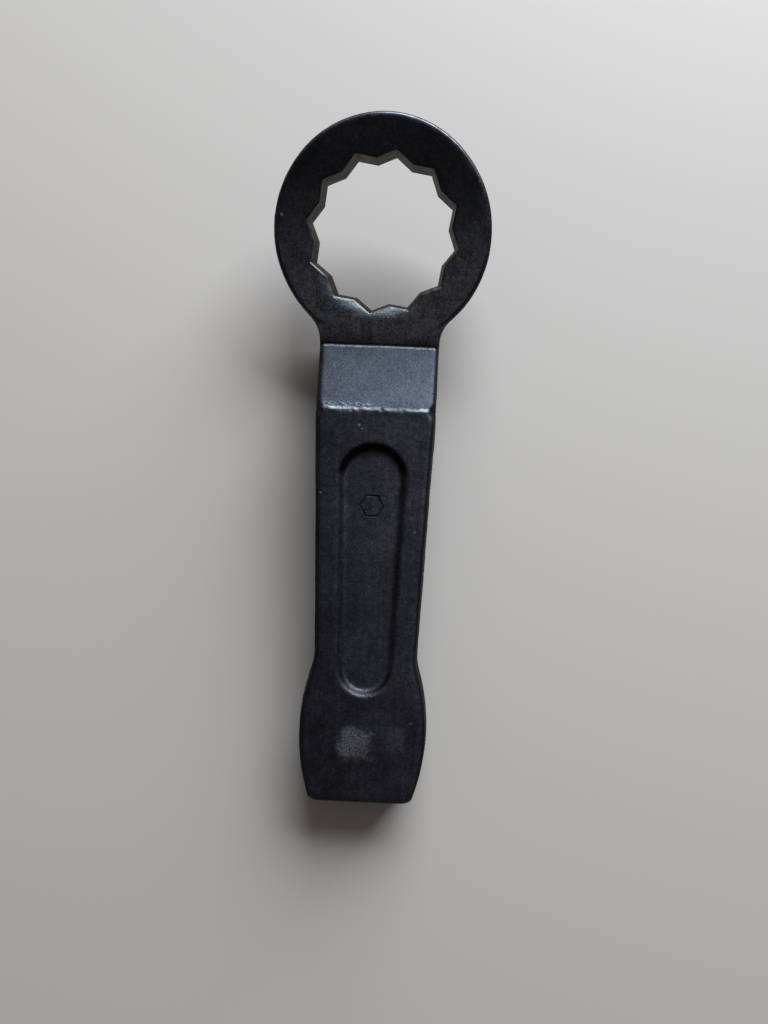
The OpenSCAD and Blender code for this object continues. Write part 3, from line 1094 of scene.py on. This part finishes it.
def broached_steel():
    """Bare steel with fine lines along the ring's axis, tinted brown as a painted reflection of a
    brown floor.
    """
    n = Skin("broached_steel")
    lines = n.noise(n.stretched(n.x, n.up, n.out, 22), 0.5 * MM, 4, 0.65)
    stain = n.noise(n.p, 5 * MM, 4, 0.6)
    # The brown is a painted reflection of a brown floor, in patches with a darker steel
    colour = n.mix(n.span(stain, 0.35, 0.7), WALL_BROWN_REFLECTION, WALL_DARK)
    colour = n.mix(n.span(lines, 0.35, 0.75, 0, 0.5), colour, WALL_LINES)
    rough = n.span(stain, 0.2, 0.8, 0.38, 0.55)
    return n.metal(colour, rough, WALL_TINT, n.bump(lines, 0.12 * MM, 0.9))


def rubbed_steel():
    """The bright edge of the opening: bare steel, lighter on the side by the neck, partly from more
    rubbing and partly as a painted highlight.
    """
    n = Skin("rubbed_steel")
    # Lighter towards the neck: partly more rubbing, partly a painted highlight
    bright = n.times(n.span(n.out, 4 * MM, -12 * MM, 0.15, 1), n.span(n.mottle, 0.3, 0.6, 0.35, 1))
    colour = n.mix(bright, LIP_DULL, LIP_BRIGHT)
    rough = n.span(n.mottle, 0.2, 0.8, 0.36, 0.5)
    return n.metal(colour, rough, LIP_TINT, n.bump(n.grain, 0.08 * MM, 0.7))


def pale_floor():
    """A plain pale material."""
    n = Nodes("pale_floor")
    n.shader.inputs["Base Color"].default_value = FLOOR_COLOUR
    n.shader.inputs["Roughness"].default_value = FLOOR_ROUGHNESS
    return n.material


# ---------------------------------------------------------------- stage, light, camera

def stage():
    """The floor under the spanner."""
    half = FLOOR_HALF
    corners = [(-half, -half, 0), (half, -half, 0), (half, half, 0), (-half, half, 0)]
    mesh = bpy.data.meshes.new("floor")
    mesh.from_pydata(corners, [], [(0, 1, 2, 3)])
    mesh.materials.append(pale_floor())
    add_object("floor", mesh)


def window_light(name, azimuth, elevation, distance, width, height, power, colour):
    """A soft rectangular light facing the spanner; azimuth turns from +Y towards +X."""
    a, e = math.radians(azimuth), math.radians(elevation)
    place = Vector((math.sin(a) * math.cos(e), math.cos(a) * math.cos(e), math.sin(e)))
    lamp = bpy.data.lights.new(name, "AREA")
    lamp.shape = "RECTANGLE"
    lamp.size, lamp.size_y = width, height
    lamp.energy = power
    lamp.color = colour
    obj = bpy.data.objects.new(name, lamp)
    bpy.context.scene.collection.objects.link(obj)
    obj.location = place * distance
    obj.rotation_mode = "QUATERNION"
    obj.rotation_quaternion = (-place).to_track_quat("-Z", "Y")
    obj.visible_camera = False


def lights():
    """One soft window past the ring, and a dim even sky."""
    window_light("key_window", azimuth=20, elevation=27, distance=2.1,
                 width=1.9, height=1.7, power=101, colour=(0.84, 0.92, 1.0))
    world = bpy.data.worlds.new("studio")
    bpy.context.scene.world = world
    world.use_nodes = True
    background = world.node_tree.nodes["Background"]
    background.inputs["Color"].default_value = SKY_COLOUR
    background.inputs["Strength"].default_value = SKY_STRENGTH
    bpy.context.scene.view_settings.view_transform = "Standard"


def camera():
    """The camera that the scene is seen through."""
    forward = (CAMERA_LOOKS_AT - CAMERA_AT).normalized()
    hint = Vector((-math.sin(CAMERA_ROLL), math.cos(CAMERA_ROLL), 0))
    right = forward.cross(hint).normalized()
    up = right.cross(forward)
    data = bpy.data.cameras.new("camera")
    data.lens = FOCAL_LENGTH
    data.sensor_width = SENSOR
    data.clip_start, data.clip_end = 0.01, 50
    obj = bpy.data.objects.new("camera", data)
    bpy.context.scene.collection.objects.link(obj)
    turn = Matrix((right, up, -forward)).transposed()
    obj.matrix_world = Matrix.Translation(CAMERA_AT) @ turn.to_4x4()
    bpy.context.scene.camera = obj


camera()
stage()
lights()
spanner()
